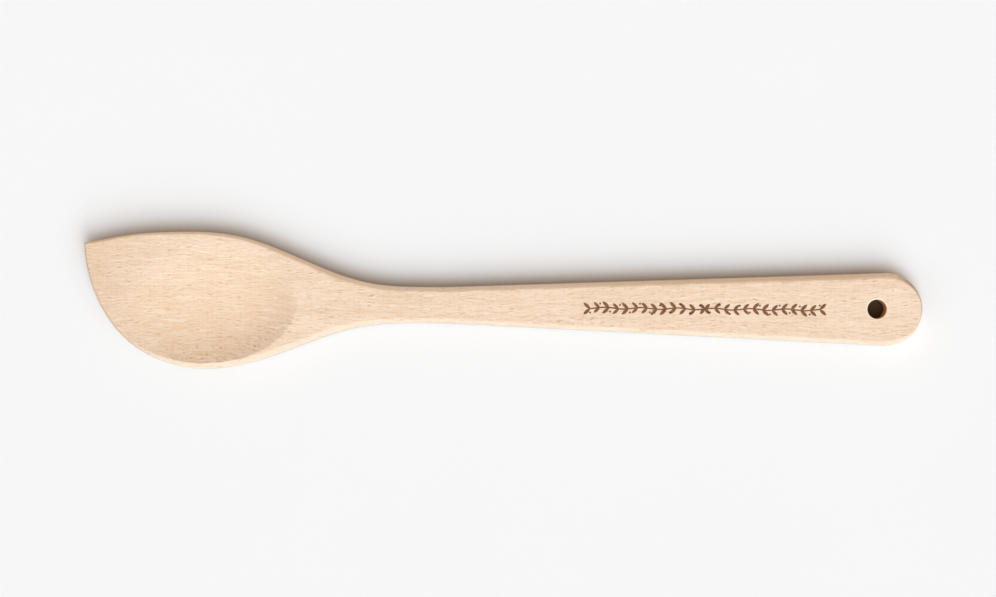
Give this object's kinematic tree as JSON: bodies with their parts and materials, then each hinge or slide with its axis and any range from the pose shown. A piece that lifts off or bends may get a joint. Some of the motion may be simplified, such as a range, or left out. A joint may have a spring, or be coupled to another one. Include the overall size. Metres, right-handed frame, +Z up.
{
  "type": "wooden cooking spoon",
  "caption": "Flat-handled wooden cooking spoon with a shallow dish, one pointed corner for scraping, a slim neck and a hanging hole.",
  "frame": {"origin": "under the middle of the whole spoon, on the surface it rests on", "axes": "+X along the handle from the head to the hole, +Y to the side of the pointed corner, +Z up out of the dish"},
  "size_m": [0.3, 0.049, 0.009],
  "materials": {
    "spoon": "raw fine-sanded beech with short darker flecks along the grain"
  },
  "bodies": {
    "root": {"spoon": "spoon"}
  },
  "joints": []
}
